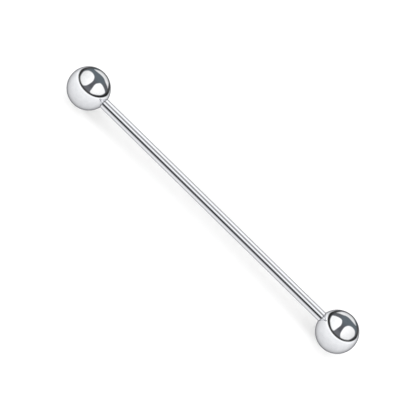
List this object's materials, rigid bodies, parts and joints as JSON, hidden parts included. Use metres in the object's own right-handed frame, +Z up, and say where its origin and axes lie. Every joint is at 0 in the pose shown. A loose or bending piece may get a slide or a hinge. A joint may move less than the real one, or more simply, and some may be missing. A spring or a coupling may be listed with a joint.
{
  "type": "industrial barbell",
  "caption": "Straight piercing barbell in polished surgical steel: a long round shaft with a threaded pin and a screw-on ball at each end.",
  "frame": {"origin": "midway between the two balls, on the surface that they rest on", "axes": "+X along the shaft towards ball_right, +Z up from the surface"},
  "size_m": [0.053, 0.006, 0.006],
  "materials": {
    "shaft_steel": "polished in the lathe, with very fine lines round the shaft",
    "ball_steel": "mirror polished surgical steel"
  },
  "bodies": {
    "shaft": {"shaft": "shaft_steel"},
    "ball_left": {"ball_left": "ball_steel"},
    "ball_right": {"ball_right": "ball_steel"}
  },
  "joints": [
    {"name": "unscrew_left", "type": "slide", "parent": "shaft", "child": "ball_left", "axis": [-1, 0, 0], "range_m": [0, 0.0045]},
    {"name": "unscrew_right", "type": "slide", "parent": "shaft", "child": "ball_right", "axis": [1, 0, 0], "range_m": [0, 0.0045]}
  ]
}
